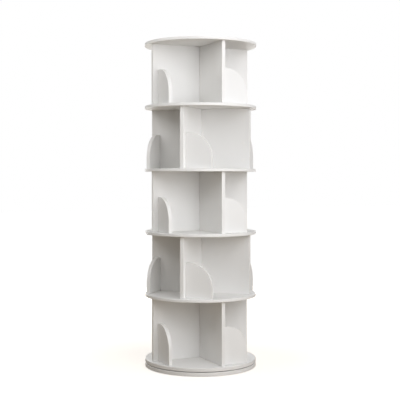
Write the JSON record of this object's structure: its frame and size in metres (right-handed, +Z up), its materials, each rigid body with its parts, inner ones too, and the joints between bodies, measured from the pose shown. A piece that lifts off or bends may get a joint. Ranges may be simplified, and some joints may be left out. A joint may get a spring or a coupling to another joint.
{
  "type": "revolving bookcase",
  "caption": "Tall round white bookcase of crossed dividers between discs, with quarter-round book stops, which turns on a ball-bearing swivel in its double base.",
  "frame": {"origin": "on the floor, on the axis that the column turns about", "axes": "+Z up along the turning axis; +X along one arm of the lowest tier's cross of dividers"},
  "size_m": [0.46, 0.46, 1.332],
  "materials": {
    "white_board": "satin white lacquer",
    "zinc_steel": "zinc plated",
    "screw_steel": "zinc plated",
    "ball_steel": "polished",
    "nylon": "matte",
    "pad_rubber": "matte"
  },
  "bodies": {
    "base": {"base_disc": "white_board", "foot_pads": "pad_rubber", "swivel_lower_plate": "zinc_steel", "swivel_lower_screws": "screw_steel"},
    "bearing_cage": {"swivel_cage": "nylon", "swivel_balls": "ball_steel"},
    "column": {"turntable_disc": "white_board", "shelf_disc_1": "white_board", "shelf_disc_2": "white_board", "shelf_disc_3": "white_board", "shelf_disc_4": "white_board", "top_disc": "white_board", "tier_1_divider_a": "white_board", "tier_1_divider_b": "white_board", "tier_1_stop_1": "white_board", "tier_1_stop_2": "white_board", "tier_1_stop_3": "white_board", "tier_1_stop_4": "white_board", "tier_2_divider_a": "white_board", "tier_2_divider_b": "white_board", "tier_2_stop_1": "white_board", "tier_2_stop_2": "white_board", "tier_2_stop_3": "white_board", "tier_2_stop_4": "white_board", "tier_3_divider_a": "white_board", "tier_3_divider_b": "white_board", "tier_3_stop_1": "white_board", "tier_3_stop_2": "white_board", "tier_3_stop_3": "white_board", "tier_3_stop_4": "white_board", "tier_4_divider_a": "white_board", "tier_4_divider_b": "white_board", "tier_4_stop_1": "white_board", "tier_4_stop_2": "white_board", "tier_4_stop_3": "white_board", "tier_4_stop_4": "white_board", "tier_5_divider_a": "white_board", "tier_5_divider_b": "white_board", "tier_5_stop_1": "white_board", "tier_5_stop_2": "white_board", "tier_5_stop_3": "white_board", "tier_5_stop_4": "white_board", "swivel_upper_plate": "zinc_steel", "swivel_upper_screws": "screw_steel", "tier_1_screws": "screw_steel", "tier_2_screws": "screw_steel", "tier_3_screws": "screw_steel", "tier_4_screws": "screw_steel", "tier_5_screws": "screw_steel"}
  },
  "joints": [
    {"name": "turntable_spin", "type": "hinge", "parent": "base", "child": "column", "pos_m": [0, 0, 0.0185], "axis": [0, 0, 1], "continuous": true},
    {"name": "cage_spin", "type": "hinge", "parent": "base", "child": "bearing_cage", "pos_m": [0, 0, 0.0185], "axis": [0, 0, 1], "continuous": true}
  ],
  "couplings": [
    {"joint": "cage_spin", "follows": "turntable_spin", "ratio": 0.5}
  ]
}
